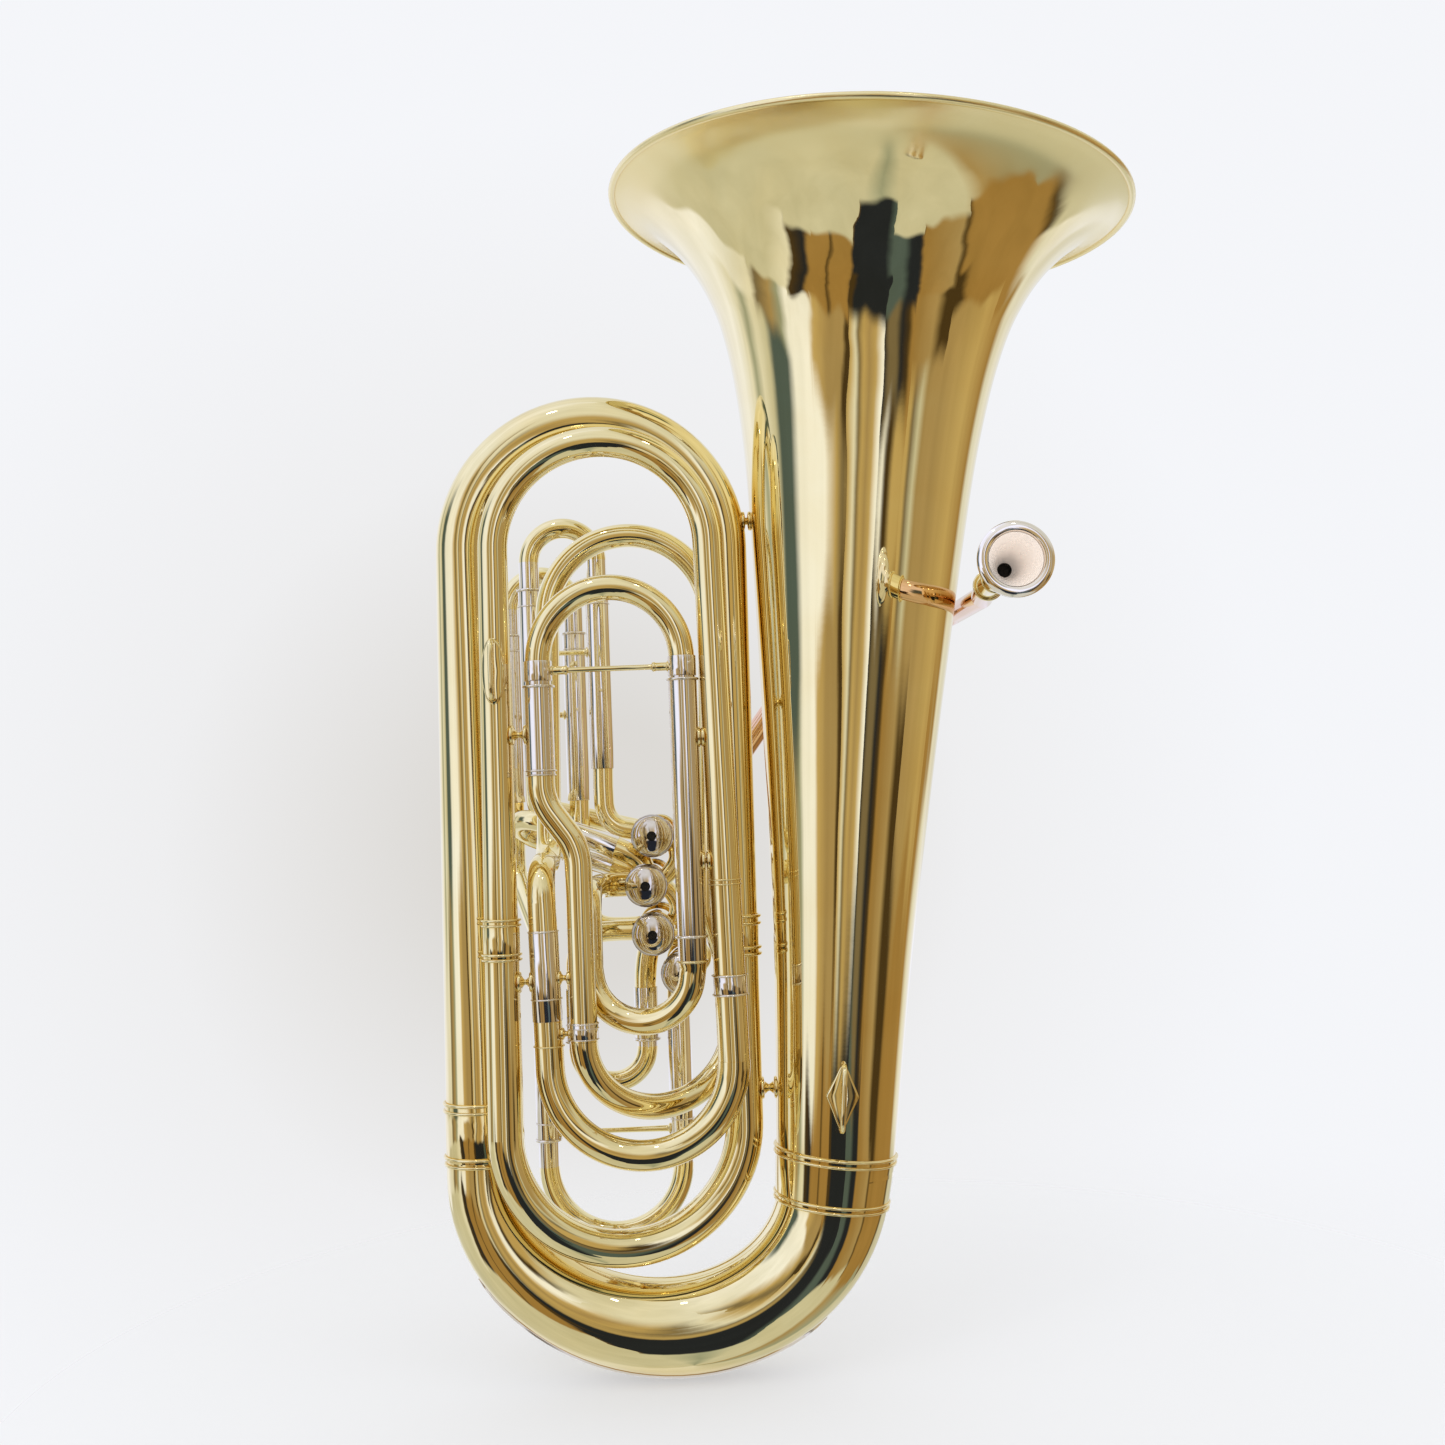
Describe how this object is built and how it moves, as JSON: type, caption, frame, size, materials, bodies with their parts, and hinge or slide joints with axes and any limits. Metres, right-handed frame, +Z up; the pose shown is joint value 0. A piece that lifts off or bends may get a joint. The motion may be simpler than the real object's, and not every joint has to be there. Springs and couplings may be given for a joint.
{
  "type": "tuba",
  "caption": "Three-quarter size tuba with an upright bell, nested tube bows, front-action piston valves, pull-out tuning slides and a cup mouthpiece on a side leadpipe.",
  "frame": {"origin": "under the middle of the object's box, at the height of its lowest point (the guard under the bottom bow)", "axes": "+Z up the branches towards the bell's rim, +X from the branches towards the bell, -Y towards the player's mouthpiece and +Y towards the finger buttons"},
  "size_m": [0.5142, 0.4464, 0.841],
  "materials": {
    "brass": "mirror polished, clear lacquer",
    "rose_brass": "mirror polished, clear lacquer",
    "nickel_silver": "polished nickel silver",
    "chrome": "mirror",
    "silver_plate": "mirror polished silver plate",
    "spring_steel": "plain wire"
  },
  "bodies": {
    "body": {"bell": "brass", "bottom_bow": "brass", "bell_ferrule": "brass", "left_outer_branch": "brass", "outer_top_bow": "brass", "right_outer_branch": "brass", "second_bottom_bow": "brass", "left_front_branch": "brass", "inner_top_bow": "brass", "right_front_branch": "brass", "third_bottom_bow": "brass", "third_left_branch": "brass", "third_top_bow": "brass", "fourth_branch": "brass", "offset_tube": "brass", "valve_exit_bow": "brass", "valve_block": "brass", "first_right_crook": "brass", "first_left_crook": "brass", "third_crook": "brass", "fourth_return_crook": "brass", "fourth_crook": "brass", "bell_strap_ring": "brass", "branch_strap_ring": "brass", "bow_guard": "nickel_silver", "mouthpiece_receiver": "nickel_silver", "first_slide_sleeves": "nickel_silver", "fourth_upper_slide_sleeves": "nickel_silver", "third_slide_sleeves": "nickel_silver", "fourth_slide_sleeves": "nickel_silver", "second_slide_sleeves": "nickel_silver", "leadpipe": "rose_brass", "bottom_cap_1": "chrome", "top_cap_1": "chrome", "valve_spring_1": "spring_steel", "bottom_cap_2": "chrome", "top_cap_2": "chrome", "valve_spring_2": "spring_steel", "bottom_cap_3": "chrome", "top_cap_3": "chrome", "valve_spring_3": "spring_steel", "bottom_cap_4": "chrome", "top_cap_4": "chrome", "valve_spring_4": "spring_steel"},
    "valve_1": {"piston_1": "nickel_silver", "finger_button_1": "chrome"},
    "valve_2": {"piston_2": "nickel_silver", "finger_button_2": "chrome"},
    "valve_3": {"piston_3": "nickel_silver", "finger_button_3": "chrome"},
    "valve_4": {"piston_4": "nickel_silver", "finger_button_4": "chrome"},
    "main_tuning_slide": {"main_slide": "nickel_silver", "main_slide_brace": "brass"},
    "first_slide": {"first_slide": "nickel_silver"},
    "fourth_upper_slide": {"fourth_upper_slide": "nickel_silver"},
    "third_slide": {"third_slide": "nickel_silver"},
    "fourth_slide": {"fourth_slide": "nickel_silver"},
    "second_slide": {"second_slide": "nickel_silver"},
    "mouthpiece": {"mouthpiece": "silver_plate"}
  },
  "joints": [
    {"name": "valve_1_press", "type": "slide", "parent": "body", "child": "valve_1", "axis": [0, -1, 0], "range_m": [0, 0.018], "stiffness_N_per_m": 40, "springref_m": -0.008, "deforming": ["valve_spring_1"]},
    {"name": "valve_2_press", "type": "slide", "parent": "body", "child": "valve_2", "axis": [0, -1, 0], "range_m": [0, 0.018], "stiffness_N_per_m": 40, "springref_m": -0.008, "deforming": ["valve_spring_2"]},
    {"name": "valve_3_press", "type": "slide", "parent": "body", "child": "valve_3", "axis": [0, -1, 0], "range_m": [0, 0.018], "stiffness_N_per_m": 40, "springref_m": -0.008, "deforming": ["valve_spring_3"]},
    {"name": "valve_4_press", "type": "slide", "parent": "body", "child": "valve_4", "axis": [0, -1, 0], "range_m": [0, 0.018], "stiffness_N_per_m": 40, "springref_m": -0.008, "deforming": ["valve_spring_4"]},
    {"name": "main_tuning_slide_pull", "type": "slide", "parent": "body", "child": "main_tuning_slide", "axis": [0, 0, 1], "range_m": [0, 0.045]},
    {"name": "first_slide_pull", "type": "slide", "parent": "body", "child": "first_slide", "axis": [0, 0, 1], "range_m": [0, 0.1]},
    {"name": "fourth_upper_slide_pull", "type": "slide", "parent": "body", "child": "fourth_upper_slide", "axis": [0, 0, 1], "range_m": [0, 0.1]},
    {"name": "third_slide_pull", "type": "slide", "parent": "body", "child": "third_slide", "axis": [0, 0, -1], "range_m": [0, 0.025]},
    {"name": "fourth_slide_pull", "type": "slide", "parent": "body", "child": "fourth_slide", "axis": [0, 0, -1], "range_m": [0, 0.07]},
    {"name": "second_slide_pull", "type": "slide", "parent": "body", "child": "second_slide", "axis": [-0.9326, 0, 0.361], "range_m": [0, 0.035]},
    {"name": "mouthpiece_pull", "type": "slide", "parent": "body", "child": "mouthpiece", "axis": [0, -0.9998, 0.02], "range_m": [0, 0.035]}
  ]
}
